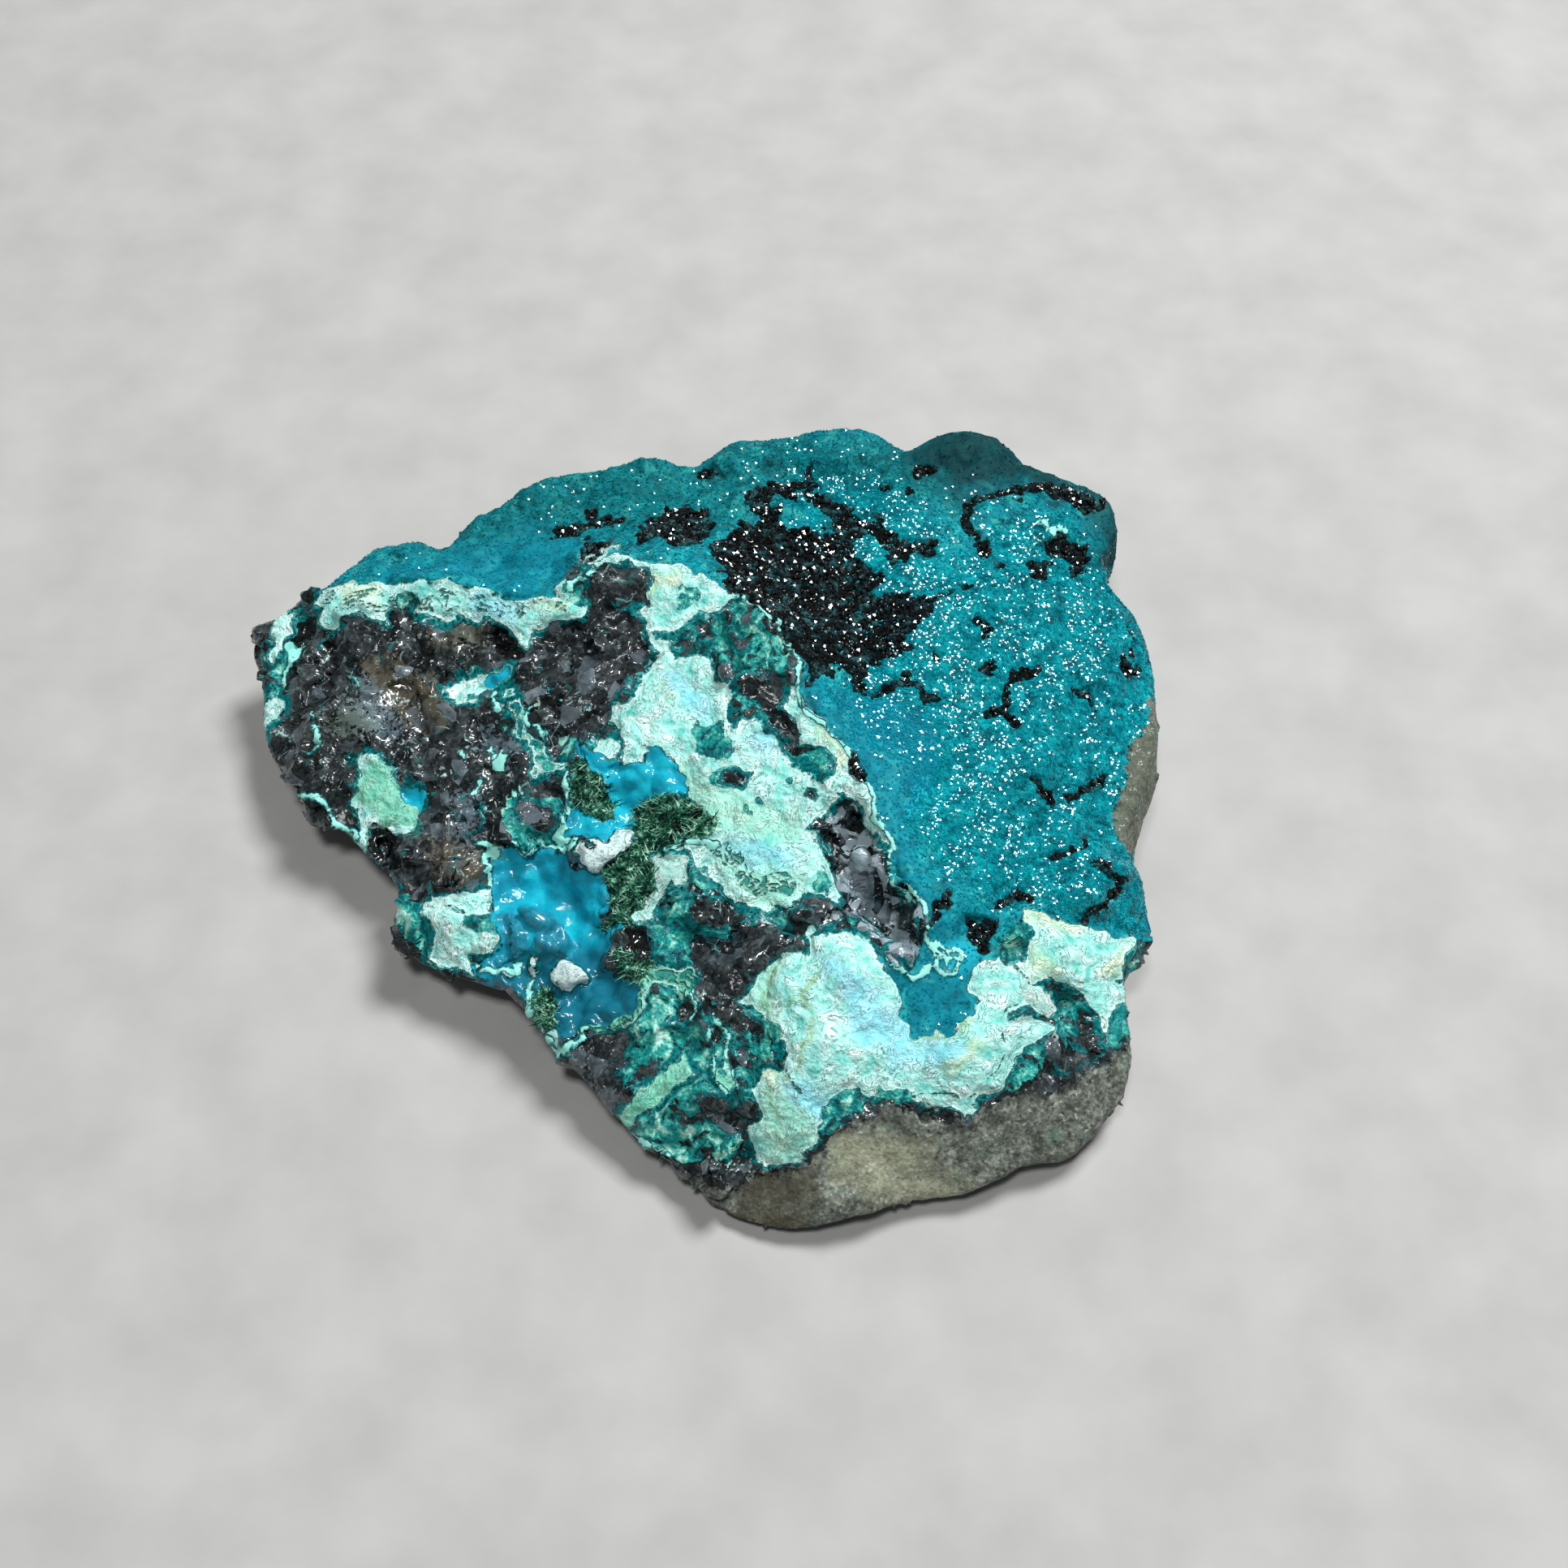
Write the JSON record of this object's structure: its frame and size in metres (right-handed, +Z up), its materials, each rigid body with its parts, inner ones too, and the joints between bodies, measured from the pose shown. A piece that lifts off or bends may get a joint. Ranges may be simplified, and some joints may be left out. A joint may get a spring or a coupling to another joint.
{
  "type": "chrysocolla specimen",
  "caption": "Loose hand-size rock with a rolling crystal-coated top, a sharp crest, a rough broken face, a small pocket and a flat break to lie on.",
  "frame": {"origin": "middle of the bounding box in plan, at the level of the flat break that the rock lies on", "axes": "+Z up; +X along the longest side, towards the thick end of the plateau; +Y from the broken front edge to the back edge of the crust"},
  "size_m": [0.118, 0.1084, 0.0274],
  "materials": {
    "chrysocolla_specimen": "teal chrysocolla under a glittering quartz druse, with chalky turquoise, dark grey matrix, malachite and grey-brown host rock on the broken face"
  },
  "bodies": {
    "root": {"chrysocolla_specimen": "chrysocolla_specimen"}
  },
  "joints": []
}
